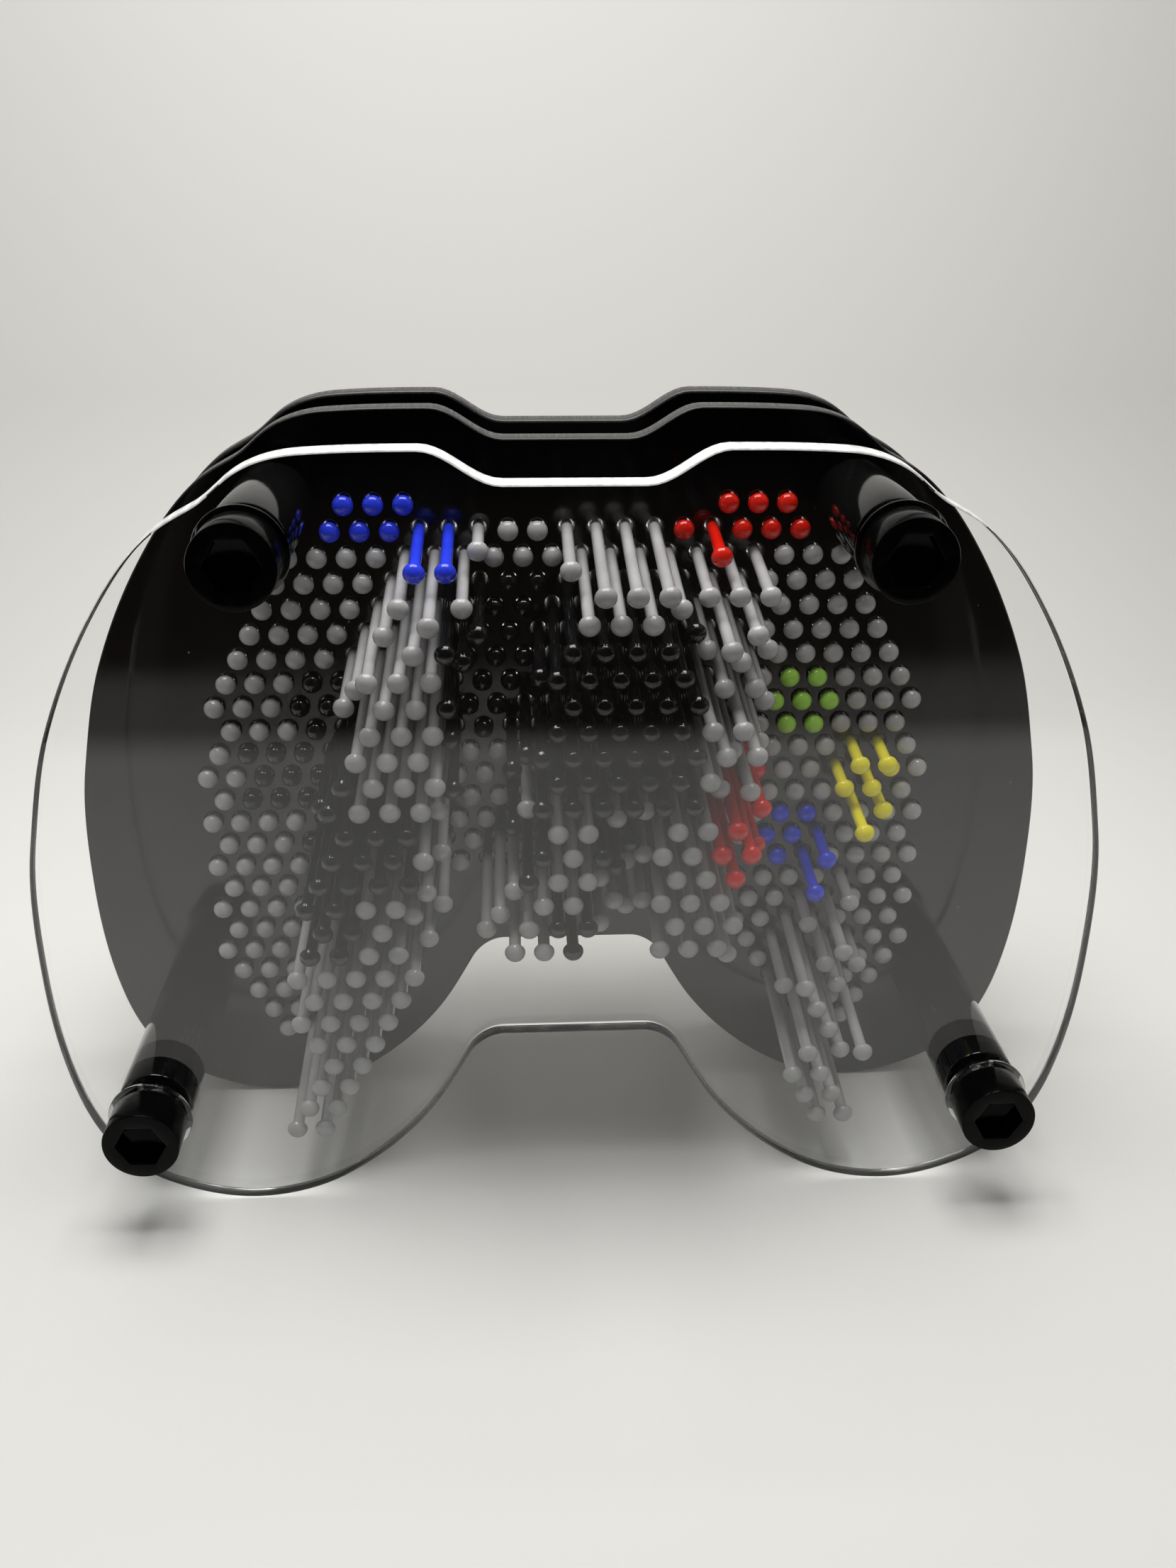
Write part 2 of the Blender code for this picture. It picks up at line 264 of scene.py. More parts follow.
def pin_material(name, colour, deep, roughness, softness, shine=0.5):
    """Moulded pin plastic: slightly uneven colour and gloss, and a little light scattered inside it."""
    made, tree, surface = new_material(name)
    point = object_point(tree)
    cloud = noise(tree, point, 160.0, 3.0)
    share = remap(tree, cloud, 0.35, 0.65, 0.0, 1.0)
    tree.links.new(mix_colours(tree, share, deep, colour), surface.inputs["Base Color"])
    tree.links.new(remap(tree, cloud, 0.3, 0.7, roughness * 0.85, roughness * 1.2),
                   surface.inputs["Roughness"])
    surface.inputs["Subsurface Weight"].default_value = softness
    surface.inputs["Subsurface Radius"].default_value = (1.0, 0.9, 0.85)
    surface.inputs["Subsurface Scale"].default_value = 0.0012
    surface.inputs["IOR"].default_value = 1.5
    surface.inputs["Specular IOR Level"].default_value = shine
    return made


def black_sheet():
    """Polished black acrylic with a little dust and fine wipe marks."""
    made, tree, surface = new_material("black_sheet")
    point = object_point(tree)
    dust = specks(tree, point, 320.0, 0.055, 0.10)
    tree.links.new(mix_colours(tree, dust, (0.0015, 0.0015, 0.0016), (0.16, 0.16, 0.155)),
                   surface.inputs["Base Color"])
    smear = noise(tree, point, 38.0, 4.0, 0.62)
    tree.links.new(remap(tree, smear, 0.35, 0.75, 0.05, 0.13), surface.inputs["Roughness"])
    surface.inputs["IOR"].default_value = 1.49
    return made


def black_edge():
    """Cut edge of the black sheet: greyer and duller, with lines left by the cutter."""
    made, tree, surface = new_material("black_edge")
    point = object_point(tree)
    lines = noise(tree, stretched(tree, point, (1.0, 0.06, 1.0)), 2600.0, 2.0)
    share = remap(tree, lines, 0.35, 0.65, 0.0, 1.0)
    tree.links.new(mix_colours(tree, share, (0.006, 0.006, 0.006), (0.018, 0.018, 0.0175)),
                   surface.inputs["Base Color"])
    tree.links.new(remap(tree, lines, 0.3, 0.7, 0.3, 0.5), surface.inputs["Roughness"])
    tree.links.new(bump(tree, lines, 0.25, 0.0001), surface.inputs["Normal"])
    return made


def clear_sheet(name, shade, rough_low, rough_high):
    """Clear acrylic that lets light from lamps through, with faint wipe marks."""
    made, tree, surface = new_material(name)
    surface.inputs["Base Color"].default_value = (0.985, 0.992, 0.99, 1.0)
    surface.inputs["Transmission Weight"].default_value = 1.0
    surface.inputs["IOR"].default_value = 1.49
    point = object_point(tree)
    smear = noise(tree, point, 30.0, 3.0)
    tree.links.new(remap(tree, smear, 0.45, 0.75, rough_low, rough_high), surface.inputs["Roughness"])
    output = tree.nodes["Material Output"]
    open_to_lamps = node(tree, "ShaderNodeBsdfTransparent")
    open_to_lamps.inputs["Color"].default_value = (*shade, 1.0)
    path = node(tree, "ShaderNodeLightPath")
    swap = node(tree, "ShaderNodeMixShader")
    tree.links.new(path.outputs["Is Shadow Ray"], swap.inputs["Fac"])
    tree.links.new(surface.outputs["BSDF"], swap.inputs[1])
    tree.links.new(open_to_lamps.outputs["BSDF"], swap.inputs[2])
    tree.links.new(swap.outputs["Shader"], output.inputs["Surface"])
    return made


def painted_light_edge():
    """Sawn upper edge of the clear sheet: the real edge gathers light inside and shines white, and here
    that light is painted in, white at the top and fading with height to a painted dark lower down.
    """
    made, tree, surface = new_material("painted_light_edge")
    point = object_point(tree)
    lines = noise(tree, stretched(tree, point, (1.0, 0.08, 1.0)), 900.0, 3.0)
    share = remap(tree, lines, 0.35, 0.65, 0.0, 1.0)
    split = node(tree, "ShaderNodeSeparateXYZ")
    tree.links.new(point, split.inputs["Vector"])
    # painted light: the colour fades with height from a painted dark to painted white
    fade = node(tree, "ShaderNodeMix", data_type="RGBA")
    fade.inputs["A"].default_value = (0.035, 0.036, 0.035, 1.0)
    tree.links.new(remap(tree, split.outputs["Z"], EDGE_CLEAR_Z, EDGE_PAINTED_WHITE_Z, 0.0, 1.0),
                   fade.inputs["Factor"])
    tree.links.new(mix_colours(tree, share, (0.66, 0.68, 0.67), (0.93, 0.94, 0.93)),
                   fade.inputs["B"])
    tree.links.new(fade.outputs["Result"], surface.inputs["Base Color"])
    tree.links.new(remap(tree, lines, 0.3, 0.7, 0.12, 0.3), surface.inputs["Roughness"])
    surface.inputs["IOR"].default_value = 1.49
    return made


def post_black(name, dark, rough_low, rough_high, shine, relief):
    """Black turned posts and caps, with a faint turning texture."""
    made, tree, surface = new_material(name)
    point = object_point(tree)
    grain = noise(tree, stretched(tree, point, (1.0, 6.0, 1.0)), 700.0, 2.0)
    share = remap(tree, grain, 0.35, 0.65, 0.0, 1.0)
    tree.links.new(mix_colours(tree, share, [dark] * 3, [dark * 1.6] * 3),
                   surface.inputs["Base Color"])
    tree.links.new(remap(tree, grain, 0.3, 0.7, rough_low, rough_high), surface.inputs["Roughness"])
    tree.links.new(bump(tree, grain, relief, 0.0001), surface.inputs["Normal"])
    surface.inputs["Specular IOR Level"].default_value = shine
    return made


PIN_LOOKS = {
    "grey": pin_material("pin_grey", (0.46, 0.455, 0.46), (0.39, 0.385, 0.39), 0.10, 0.2),
    "black": pin_material("pin_black", (0.0045, 0.005, 0.0055), (0.003, 0.0035, 0.004), 0.045, 0.0,
                          0.55),
    "blue": pin_material("pin_blue", (0.030, 0.060, 0.85), (0.020, 0.042, 0.68), 0.13, 0.15),
    "red": pin_material("pin_red", (0.74, 0.015, 0.006), (0.60, 0.010, 0.004), 0.13, 0.15),
    "green": pin_material("pin_green", (0.45, 0.80, 0.13), (0.36, 0.68, 0.10), 0.14, 0.15),
    "yellow": pin_material("pin_yellow", (1.0, 0.90, 0.03), (0.97, 0.84, 0.025), 0.11, 0.15),
}
BLACK_SHEET = black_sheet()
BLACK_EDGE = black_edge()
CLEAR_SHEET = clear_sheet("clear_sheet", (0.93, 0.94, 0.94), 0.0, 0.012)
CLEAR_WASHER = clear_sheet("clear_washer", (0.85, 0.86, 0.86), 0.0, 0.012)
CLEAR_EDGE = clear_sheet("clear_edge", (0.93, 0.94, 0.94), 0.16, 0.30)
# the cover's upper edge, painted white as painted light
PAINTED_LIGHT_EDGE = painted_light_edge()
CAP_BLACK = post_black("cap_black", 0.0012, 0.12, 0.2, 0.07, 0.01)
SLEEVE_BLACK = post_black("sleeve_black", 0.003, 0.07, 0.11, 0.5, 0.04)


# ---------------------------------------------------------------- shapes


def add_piece(name, mesh, *materials):
    made = bpy.data.objects.new(name, mesh)
    bpy.context.scene.collection.objects.link(made)
    for material in materials:
        mesh.materials.append(material)
    return made


def facing_front(x, y, z):
    """Turns a shape made along +Z so that its top faces the front, and moves it to x, y, z."""
    return Matrix.Translation((x, y, z)) @ Matrix.Rotation(math.radians(90), 4, "X")


def whole_loop(half):
    right = []
    for x, z, degrees in half:
        turn = math.radians(degrees)
        right.append((Vector((x * MM, z * MM, 0)), Vector((math.cos(turn), math.sin(turn), 0))))
    left = [(Vector((-p.x, p.y, 0)), Vector((w.x, -w.y, 0))) for p, w in reversed(right)]
    return right + left


def add_outline(curve, half):
    loop = whole_loop(half)
    spline = curve.splines.new("BEZIER")
    spline.bezier_points.add(len(loop) - 1)
    spline.use_cyclic_u = True
    spline.resolution_u = OUTLINE_STEPS
    for index, (point, way) in enumerate(loop):
        before = (loop[index - 1][0] - point).length / 3
        after = (loop[(index + 1) % len(loop)][0] - point).length / 3
        corner = spline.bezier_points[index]
        corner.handle_left_type = "FREE"
        corner.handle_right_type = "FREE"
        corner.co = point
        corner.handle_left = point - way * before
        corner.handle_right = point + way * after


def add_hole(curve, x, z, radius, steps):
    spline = curve.splines.new("BEZIER")
    spline.bezier_points.add(3)
    spline.use_cyclic_u = True
    spline.resolution_u = steps
    reach = radius * 0.5523
    for index, corner in enumerate(spline.bezier_points):
        turn = math.radians(90 * index)
        way = Vector((-math.sin(turn), math.cos(turn), 0))
        corner.handle_left_type = "FREE"
        corner.handle_right_type = "FREE"
        corner.co = Vector((x + radius * math.cos(turn), z + radius * math.sin(turn), 0))
        corner.handle_left = corner.co - way * reach
        corner.handle_right = corner.co + way * reach


def drilled_sheet(name, low, high, loops, holes, rounding, high_edge):
    """The controller outline between y = low and y = high, with its rims rounded over.

    Its flat faces take the first of the sheet's three materials and its rims the second. Rims that
    face up and lie above z = high_edge take the third.
    """
    curve = bpy.data.curves.new(name, "CURVE")
    curve.dimensions = "2D"
    curve.fill_mode = "BOTH"
    curve.extrude = (high - low) / 2 - rounding
    curve.bevel_depth = rounding
    curve.bevel_resolution = 2
    curve.offset = -rounding
    for half in loops:
        add_outline(curve, half)
    for x, z, radius, steps in holes:
        add_hole(curve, x, z, radius, steps)
    source = bpy.data.objects.new(name, curve)
    bpy.context.scene.collection.objects.link(source)
    depsgraph = bpy.context.evaluated_depsgraph_get()
    mesh = bpy.data.meshes.new_from_object(source.evaluated_get(depsgraph))
    bpy.data.objects.remove(source, do_unlink=True)
    shape = bmesh.new()
    shape.from_mesh(mesh)
    bmesh.ops.remove_doubles(shape, verts=shape.verts, dist=WELD)
    bmesh.ops.recalc_face_normals(shape, faces=shape.faces)
    bmesh.ops.transform(shape, matrix=facing_front(0, (low + high) / 2, 0), verts=shape.verts)
    for face in shape.faces:
        flat = abs(face.normal.y) > 0.999
        face.smooth = not flat
        face.material_index = 0 if flat else 1
        if face.normal.z > 0.2 and face.calc_center_median().z > high_edge:
            face.material_index = 2
    shape.to_mesh(mesh)
    shape.free()
    mesh.name = name
    return mesh


def lathe(name, profile, sides, closed=False):
    """A turned shape about +Z from (radius, height) corners, top to bottom on the outer side."""
    shape = bmesh.new()
    rings = []
    for radius, height in profile:
        if radius == 0:
            rings.append([shape.verts.new((0, 0, height))])
            continue
        ring = []
        for side in range(sides):
            turn = math.tau * side / sides
            ring.append(shape.verts.new((radius * math.cos(turn), radius * math.sin(turn), height)))
        rings.append(ring)
    pairs = list(zip(rings, rings[1:]))
    if closed:
        pairs.append((rings[-1], rings[0]))
    for upper, lower in pairs:
        for side in range(sides):
            after = (side + 1) % sides
            corners = [upper[side % len(upper)], lower[side % len(lower)],
                       lower[after % len(lower)], upper[after % len(upper)]]
            shape.faces.new(dict.fromkeys(corners))
    bmesh.ops.recalc_face_normals(shape, faces=shape.faces)
    mesh = bpy.data.meshes.new(name)
    shape.to_mesh(mesh)
    shape.free()
    mesh.shade_smooth()
    mesh.set_sharp_from_angle(angle=math.radians(32))
    return mesh


def rounded_rim(radius, height, size, down):
    """Three corners of a rounded rim, for the upper rim of a profile or, with down, the lower."""
    corner = [(radius - size, height), (radius - 0.29 * size, height - 0.29 * size),
              (radius, height - size)]
    if down:
        corner = [(r, 2 * height - h) for r, h in reversed(corner)]
    return corner


# ---------------------------------------------------------------- pins

PLATE_LOW, PLATE_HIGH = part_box("pin_plate")
REAR_LOW, REAR_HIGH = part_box("rear_frame")
COVER_LOW, COVER_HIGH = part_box("front_cover")


def pin_place(row, column):
    return (column - MIDDLE_COLUMN) * COLUMN_PITCH, FIRST_ROW_Z - (row - 1) * ROW_PITCH


def steps_apart(row, column, other_row, other_column):
    """Distance between two pins in pin pitches."""
    x, z = pin_place(row, column)
    other_x, other_z = pin_place(other_row, other_column)
    return math.hypot(x - other_x, z - other_z) / COLUMN_PITCH


def on_cross(row, column):
    if row in (11, 13):
        return -3.5 <= column <= 2.5
    if row == 12:
        return -3 <= column <= 2
    if row in (8, 10, 14, 16):
        return -1 <= column <= 0
    return row in (9, 15) and -1.5 <= column <= 0.5


def pin_colour(row, column):
    for centre_row, centre_column, colour in CLUSTERS:
        if steps_apart(row, column, centre_row, centre_column) < 1.2:
            return colour
    if row <= 2 and column <= 4:
        return "blue"
    if row <= 2 and column >= 12:
        return "red"
    on_pad = 4 <= row <= 10 and 4 <= column <= 12
    if on_pad or on_cross(row, column) or (row, column) in BUTTONS:
        return "black"
    return "grey"


def read_field():
    """Every pin as (row, column, forward in metres, colour)."""
    pins = []
    for row, line in enumerate(FIELD, start=1):
        for index, sign in enumerate(line):
            if sign == " ":
                continue
            column = LEFT_COLUMN + index / 2
            forward = 0 if sign == "." else int(sign, 36) * MM
            pins.append((row, column, forward, pin_colour(row, column)))
    return pins


def read_leads():
    """The pins of the CAD model: body, x and z of its hole, how far forward it is, and colour."""
    slots = {entry["node"]: entry["material_slot"] for entry in frame["record"]["subparts"]}
    travel = {joint["child"]: -joint["range_m"][0] for joint in frame["joints"]}
    leads = []
    for name in sorted(travel):
        low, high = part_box(name)
        reach = PLATE_TO_HEAD + travel[name] + HEAD_WIDEST * HEAD_THICKNESS
        z = low.z + HEAD_RADIUS * math.cos(PIN_DROOP) + reach * math.sin(PIN_DROOP)
        leads.append((name, (low.x + high.x) / 2, z, travel[name], slots[name].removeprefix("pin_")))
    return leads


def lead_of(row, column, forward, colour, leads):
    """The CAD pin that a pin moves with: alike in how far forward it is, in colour and in place."""
    x, z = pin_place(row, column)

    def unlike(lead):
        _, lead_x, lead_z, lead_forward, lead_colour = lead
        away = math.hypot(x - lead_x, z - lead_z)
        if away < 0.5 * MM:
            return -1.0
        other_colour = 1.5 if colour != lead_colour else 0
        return abs(forward - lead_forward) / MM + 0.03 * away / MM + other_colour

    return min(leads, key=unlike)


def pin_mesh():
    """A pin along +Z with its head on top, and the back of the head at height 0."""
    r, t, s = HEAD_RADIUS, HEAD_THICKNESS, SHAFT_RADIUS
    dome = []
    for turn in (15, 30, 45, 58, 70, 80):
        across, along = math.sin(math.radians(turn)), math.cos(math.radians(turn))
        dome.append((r * across, t * (DOME_START + (1 - DOME_START) * along)))
    return lathe("pin", (
        (0, t),
        *dome,
        (r, DOME_START * t),
        (0.95 * r, 0.11 * t),
        (0.84 * r, 0.03 * t),
        (0.72 * r, 0),
        (s * 1.02, -0.25 * MM),
        (s, -0.6 * MM),
        (s, TAIL_TAPER - SHAFT_LENGTH),
        (0.6 * s, 0.12 * MM - SHAFT_LENGTH),
        (0.4 * s, -SHAFT_LENGTH),
        (0, -SHAFT_LENGTH),
    ), PIN_SIDES)


def build_pins():
    leads = read_leads()
    patches = {}
    for row, column, forward, colour in read_field():
        lead = lead_of(row, column, forward, colour, leads)
        patches.setdefault((lead[0], lead[3], colour), []).append((row, column))
    template = pin_mesh()
    own_colour = {lead[0]: lead[4] for lead in leads}
    wobble = random.Random(7)
    droop = Matrix.Rotation(PIN_DROOP, 4, "X")
    plate_middle = (PLATE_LOW.y + PLATE_HIGH.y) / 2
    for (body, forward, colour), members in sorted(patches.items()):
        shape = bmesh.new()
        for row, column in members:
            x, z = pin_place(row, column)
            turn = Matrix.Rotation(wobble.uniform(0, math.tau), 4, "Z")
            along = Matrix.Translation((0, 0, PLATE_TO_HEAD + forward))
            place = facing_front(x, plate_middle, z) @ droop @ along @ turn
            template.transform(place)
            shape.from_mesh(template)
            template.transform(place.inverted())
        name = "pins_" + body.removeprefix("pin_")
        if colour != own_colour[body]:
            name = name + "_" + colour
        mesh = bpy.data.meshes.new(name)
        shape.to_mesh(mesh)
        shape.free()
        piece = add_piece(name, mesh, PIN_LOOKS[colour])
        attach(piece, body)
        if colour == own_colour[body]:
            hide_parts(body)


# ---------------------------------------------------------------- sheets


def corner_names():
    return [upper + "_" + side for upper in ("upper", "lower") for side in ("left", "right")]


def post_axis(corner):
    low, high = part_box("post_sleeve_" + corner)
    return (low.x + high.x) / 2, (low.z + high.z) / 2


def build_sheets():
    posts = [(*post_axis(corner), POST_BORE, POST_HOLE_STEPS) for corner in corner_names()]
    pins = []
    for row, column, _, _ in read_field():
        pins.append((*pin_place(row, column), PIN_HOLE_RADIUS, HOLE_STEPS))
    black = (BLACK_SHEET, BLACK_EDGE, BLACK_EDGE)
    sheets = (
        ("cover_sheet", "front_cover", COVER_LOW, COVER_HIGH, (OUTLINE,), posts, COVER_ROUND,
         (CLEAR_SHEET, CLEAR_EDGE, PAINTED_LIGHT_EDGE), "clear_acrylic"),
        ("pin_sheet", "pin_plate", PLATE_LOW, PLATE_HIGH, (OUTLINE,), posts + pins,
         PIN_SHEET_ROUND, black, "black_acrylic"),
        ("rear_sheet", "rear_frame", REAR_LOW, REAR_HIGH, (OUTLINE, WINDOW), posts,
         REAR_SHEET_ROUND, black, "black_acrylic"),
    )
    for name, cad_node, low, high, loops, holes, rounding, materials, slot in sheets:
        mesh = drilled_sheet(name, low.y, high.y, loops, holes, rounding, EDGE_CLEAR_Z)
        piece = add_piece(name, mesh, *materials)
        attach(piece, "frame")
        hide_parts(cad_node)


# ---------------------------------------------------------------- posts


def weld(shape):
    """Joins corners that lie on each other and removes the slivers between them."""
    bmesh.ops.remove_doubles(shape, verts=shape.verts, dist=WELD)
    bmesh.ops.dissolve_degenerate(shape, edges=shape.edges, dist=WELD)


def cap_mesh(length, shank):
    """A socket cap with its hexagonal recess and, behind it, the plain shank of the screw."""
    body = lathe("cap", (
        (0, 0),
        *rounded_rim(POST_RADIUS, 0, CAP_ROUND, False),
        *rounded_rim(POST_RADIUS, -length, 0.2 * MM, True),
        (SCREW_RADIUS, -length),
        (SCREW_RADIUS, 0.3 * MM - shank),
        (SCREW_RADIUS - 0.3 * MM, -shank),
        (0, -shank),
    ), POST_SIDES)
    socket = lathe("socket", (
        (0, HEX_DEPTH),
        (HEX_RADIUS, HEX_DEPTH),
        (HEX_RADIUS, -HEX_DEPTH),
        (0, -HEX_DEPTH - 0.9 * MM),
    ), 6)
    block = bpy.data.objects.new("block", body)
    tool = bpy.data.objects.new("tool", socket)
    for thing in (block, tool):
        bpy.context.scene.collection.objects.link(thing)
    knife = block.modifiers.new("socket", "BOOLEAN")
    knife.solver = "EXACT"
    knife.object = tool
    rim = block.modifiers.new("rim", "BEVEL")
    rim.width = 0.12 * MM
    rim.segments = 2
    rim.limit_method = "ANGLE"
    rim.angle_limit = math.radians(50)
    depsgraph = bpy.context.evaluated_depsgraph_get()
    mesh = bpy.data.meshes.new_from_object(block.evaluated_get(depsgraph))
    for thing in (block, tool):
        bpy.data.objects.remove(thing, do_unlink=True)
    shape = bmesh.new()
    shape.from_mesh(mesh)
    weld(shape)
    bmesh.ops.triangulate(shape, faces=[face for face in shape.faces if len(face.verts) > 4])
    weld(shape)
    shape.to_mesh(mesh)
    shape.free()
    mesh.shade_smooth()
    mesh.set_sharp_from_angle(angle=math.radians(32))
    return mesh


def tube_mesh(outer, bore, length, rounding):
    """A straight tube with rounded outer rims."""
    return lathe("tube", (
        *rounded_rim(outer, 0, rounding, False),
        *rounded_rim(outer, -length, rounding, True),
        (bore, -length),
        (bore, 0),
    ), POST_SIDES, closed=True)


def nut_mesh(low, high, outer):
    """A closed round nut, open to the front."""
    length = high.y - low.y
    depth = length - NUT_CROWN
    return lathe("nut", (
        (0, -depth),
        (POST_BORE, -depth),
        (POST_BORE, 0),
        (outer - 0.2 * MM, 0),
        (outer, -0.2 * MM),
        (outer, 1.2 * MM - length),
        (outer - 0.35 * MM, 0.5 * MM - length),
        (outer - 1.2 * MM, -length),
        (0, -length),
    ), POST_SIDES)


def build_posts():
    for corner in corner_names():
        x, z = post_axis(corner)
        low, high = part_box("cap_screw_" + corner)
        made = [("cap", "cap_screw_", low.y, cap_mesh(CAP_LENGTH, high.y - low.y), CAP_BLACK,
                 "black_plastic")]
        for name, prefix, rounding, material, slot in (
            ("washer", "cover_washer_", WASHER_ROUND, CLEAR_WASHER, "clear_acrylic"),
            ("sleeve", "post_sleeve_", SLEEVE_ROUND, SLEEVE_BLACK, "black_plastic"),
            ("spacer", "plate_spacer_", SLEEVE_ROUND, SLEEVE_BLACK, "black_plastic"),
        ):
            low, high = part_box(prefix + corner)
            mesh = tube_mesh((high.z - low.z) / 2, POST_BORE, high.y - low.y, rounding)
            made.append((name, prefix, low.y, mesh, material, slot))
        low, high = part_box("cap_nut_" + corner)
        made.append(("nut", "cap_nut_", low.y, nut_mesh(low, high, (high.z - low.z) / 2),
                     CAP_BLACK, "black_plastic"))
        for name, prefix, y, mesh, material, slot in made:
            mesh.transform(facing_front(x, y, z))
            piece = add_piece(name + "_" + corner, mesh, material)
            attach(piece, "frame")
            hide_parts(prefix + corner)


# ---------------------------------------------------------------- studio

FLOOR_FRONT = -3.0
FLOOR_BACK = 0.19
WALL_Y = 0.27
WALL_TOP = 2.0
FLOOR_HALF_WIDTH = 3.0
TABLE_NEAR, TABLE_FAR = -0.230, -0.208      # painted reflection: reflections see a painted pale table fade out between these, and the unlit room in front of it painted as shade that fades to black
ROOM_NEAR, ROOM_FAR = -0.42, -0.62          # and the unlit room in front of it fade to black
ROOM_HALF_WIDTH = 1.2
ROOM_TOP = 1.1
ROOM_FLOOR = 0.0004                         # just above the table
SWEEP_DROP = 0.0002                         # the table lies this far under the toy
SWEEP_STEPS = 12

LAMP_PLACE = (-0.02, 0.01, 0.40)
LAMP_SIZE = (0.30, 0.20)
LAMP_WATTS = 1.55
LAMP_COLOUR = (1.0, 0.985, 0.965)
SKY_COLOUR = (0.80, 0.79, 0.77, 1.0)
SKY_STRENGTH = 0.33

CAMERA_PLACE = (-0.0083, -0.2145, 0.1573)
CAMERA_FORWARD = (0.0510, 0.9061, -0.4200)
CAMERA_UP = (0.0171, 0.4197, 0.9075)
CAMERA_LENS = 32.01
CAMERA_SENSOR = 36.0


def stage_material(name, colour):
    made, tree, surface = new_material(name)
    point = object_point(tree)
    share = remap(tree, noise(tree, point, 3.0, 3.0), 0.3, 0.7, 0.0, 1.0)
    tree.links.new(mix_colours(tree, share, [c * 0.985 for c in colour], colour),
                   surface.inputs["Base Color"])
    surface.inputs["Roughness"].default_value = 0.75
    surface.inputs["Specular IOR Level"].default_value = 0.2
    return made


def build_sweep():
    """Pale table that curves up into a wall."""
    profile = [(FLOOR_FRONT, 0.0), (-1.0, 0.0), (FLOOR_BACK, 0.0)]
    radius = WALL_Y - FLOOR_BACK
    for step in range(1, SWEEP_STEPS + 1):
        turn = math.radians(90 * step / SWEEP_STEPS)
        profile.append((FLOOR_BACK + radius * math.sin(turn), radius * (1 - math.cos(turn))))
    profile.append((WALL_Y, WALL_TOP))
    shape = bmesh.new()
    edge = [shape.verts.new((-FLOOR_HALF_WIDTH, y, z - SWEEP_DROP)) for y, z in profile]
    other = [shape.verts.new((FLOOR_HALF_WIDTH, y, z - SWEEP_DROP)) for y, z in profile]
    for index in range(len(profile) - 1):
        shape.faces.new((edge[index], other[index], other[index + 1], edge[index + 1]))
    mesh = bpy.data.meshes.new("sweep")
    shape.to_mesh(mesh)
    shape.free()
    mesh.shade_smooth()
    sweep = add_piece("sweep", mesh, stage_material("sweep", (0.80, 0.795, 0.775)))


def along_y(tree, point, low, high):
    """0 to 1 from y = low to y = high."""
    split = node(tree, "ShaderNodeSeparateXYZ")
    tree.links.new(point, split.inputs["Vector"])
    return remap(tree, split.outputs["Y"], low, high, 0.0, 1.0)


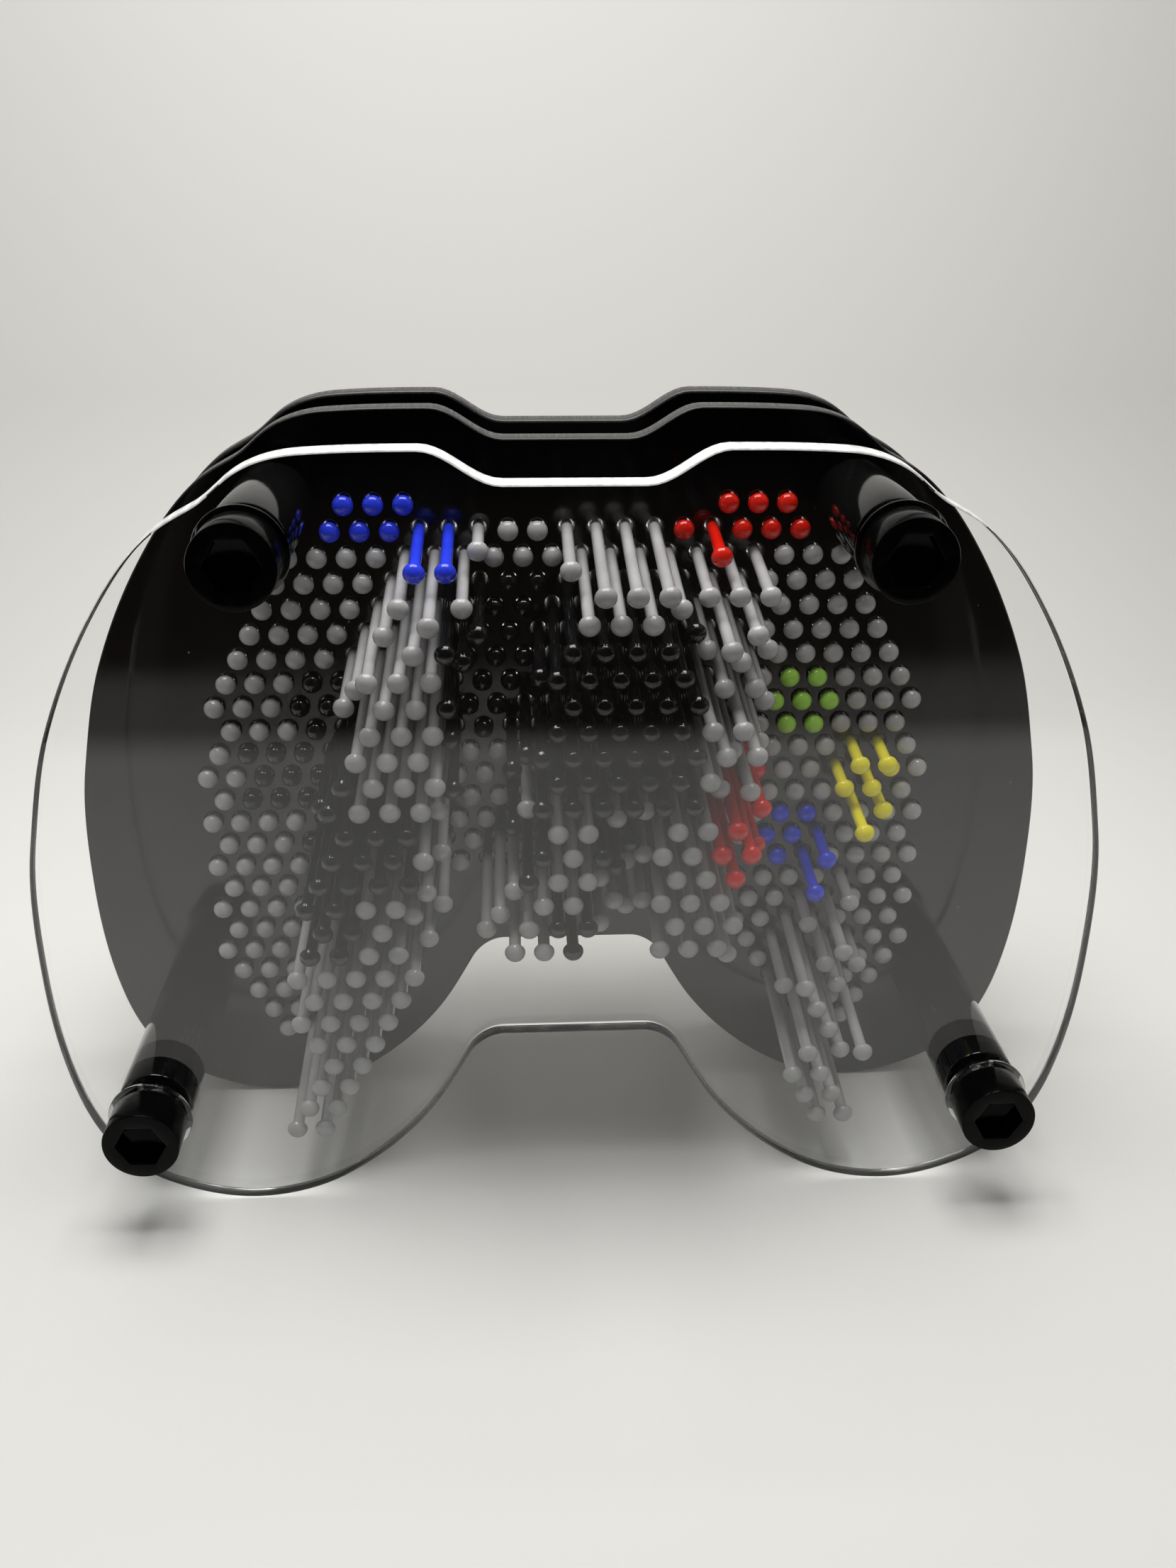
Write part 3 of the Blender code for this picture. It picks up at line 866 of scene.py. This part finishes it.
def build_painted_reflection_card():
    """Painted reflection of the unlit room and the table's near edge in front of the toy: a card
    painted dark and pale, seen only by rays that a glossy surface has reflected.
    """
    shape = bmesh.new()
    for first, second in (
        ((ROOM_FAR, ROOM_FLOOR), (TABLE_FAR, ROOM_FLOOR)),
        ((ROOM_FAR, ROOM_TOP), (ROOM_FAR, ROOM_FLOOR)),
    ):
        corners = ((-ROOM_HALF_WIDTH, *first), (ROOM_HALF_WIDTH, *first),
                   (ROOM_HALF_WIDTH, *second), (-ROOM_HALF_WIDTH, *second))
        shape.faces.new([shape.verts.new(corner) for corner in corners])
    mesh = bpy.data.meshes.new("painted_reflection_card")
    shape.to_mesh(mesh)
    shape.free()
    made, tree, surface = new_material("painted_reflection_card")
    point = object_point(tree)
    # painted reflection: a painted dark room fading to black, and a painted pale table fading out
    room = mix_colours(tree, along_y(tree, point, ROOM_FAR, ROOM_NEAR), (0.0, 0.0, 0.0),
                       (0.055, 0.044, 0.038))
    table = mix_colours(tree, along_y(tree, point, TABLE_NEAR, TABLE_FAR), (0.0, 0.0, 0.0),
                        (0.78, 0.78, 0.755))
    both = node(tree, "ShaderNodeMix", data_type="RGBA", blend_type="ADD")
    both.inputs["Factor"].default_value = 1.0
    tree.links.new(room, both.inputs["A"])
    tree.links.new(table, both.inputs["B"])
    tree.links.new(both.outputs["Result"], surface.inputs["Base Color"])
    surface.inputs["Roughness"].default_value = 0.9
    surface.inputs["Specular IOR Level"].default_value = 0.0
    path = node(tree, "ShaderNodeLightPath")
    reflected = node(tree, "ShaderNodeMath", operation="GREATER_THAN")
    reflected.inputs[1].default_value = 0.5
    tree.links.new(path.outputs["Glossy Depth"], reflected.inputs[0])
    swap = node(tree, "ShaderNodeMixShader")
    tree.links.new(reflected.outputs["Value"], swap.inputs["Fac"])
    tree.links.new(node(tree, "ShaderNodeBsdfTransparent").outputs["BSDF"], swap.inputs[1])
    tree.links.new(surface.outputs["BSDF"], swap.inputs[2])
    tree.links.new(swap.outputs["Shader"], tree.nodes["Material Output"].inputs["Surface"])
    dark = add_piece("painted_reflection_card", mesh, made)
    dark.visible_camera = False
    dark.visible_diffuse = False
    dark.visible_shadow = False


def build_lamp():
    """A wide soft panel above the toy, facing straight down."""
    lamp = bpy.data.lights.new("lamp_panel", "AREA")
    lamp.shape = "RECTANGLE"
    lamp.size, lamp.size_y = LAMP_SIZE
    lamp.energy = LAMP_WATTS
    lamp.color = LAMP_COLOUR
    made = bpy.data.objects.new("lamp_panel", lamp)
    made.location = LAMP_PLACE
    down = Vector((LAMP_PLACE[0], LAMP_PLACE[1], 0.0)) - Vector(LAMP_PLACE)
    made.rotation_euler = down.to_track_quat("-Z", "Y").to_euler()
    bpy.context.scene.collection.objects.link(made)
    made.visible_camera = False


def build_world():
    world = bpy.data.worlds.new("studio")
    world.use_nodes = True
    sky = world.node_tree.nodes["Background"]
    sky.inputs["Color"].default_value = SKY_COLOUR
    sky.inputs["Strength"].default_value = SKY_STRENGTH
    bpy.context.scene.world = world


def build_camera():
    """Camera in front of the toy, a little left of the middle and about 25 degrees above."""
    forward = Vector(CAMERA_FORWARD).normalized()
    up = Vector(CAMERA_UP)
    right = forward.cross(up).normalized()
    up = right.cross(forward)
    lens = bpy.data.cameras.new("camera")
    lens.sensor_width = CAMERA_SENSOR
    lens.lens = CAMERA_LENS
    lens.clip_start = 0.01
    lens.clip_end = 50.0
    made = bpy.data.objects.new("camera", lens)
    turn = Matrix((right, up, -forward)).transposed().to_4x4()
    made.matrix_world = Matrix.Translation(CAMERA_PLACE) @ turn
    bpy.context.scene.collection.objects.link(made)
    bpy.context.scene.camera = made


build_pins()
build_sheets()
build_posts()
build_sweep()
build_painted_reflection_card()
build_lamp()
build_world()
build_camera()
bpy.context.scene.view_settings.view_transform = "Standard"
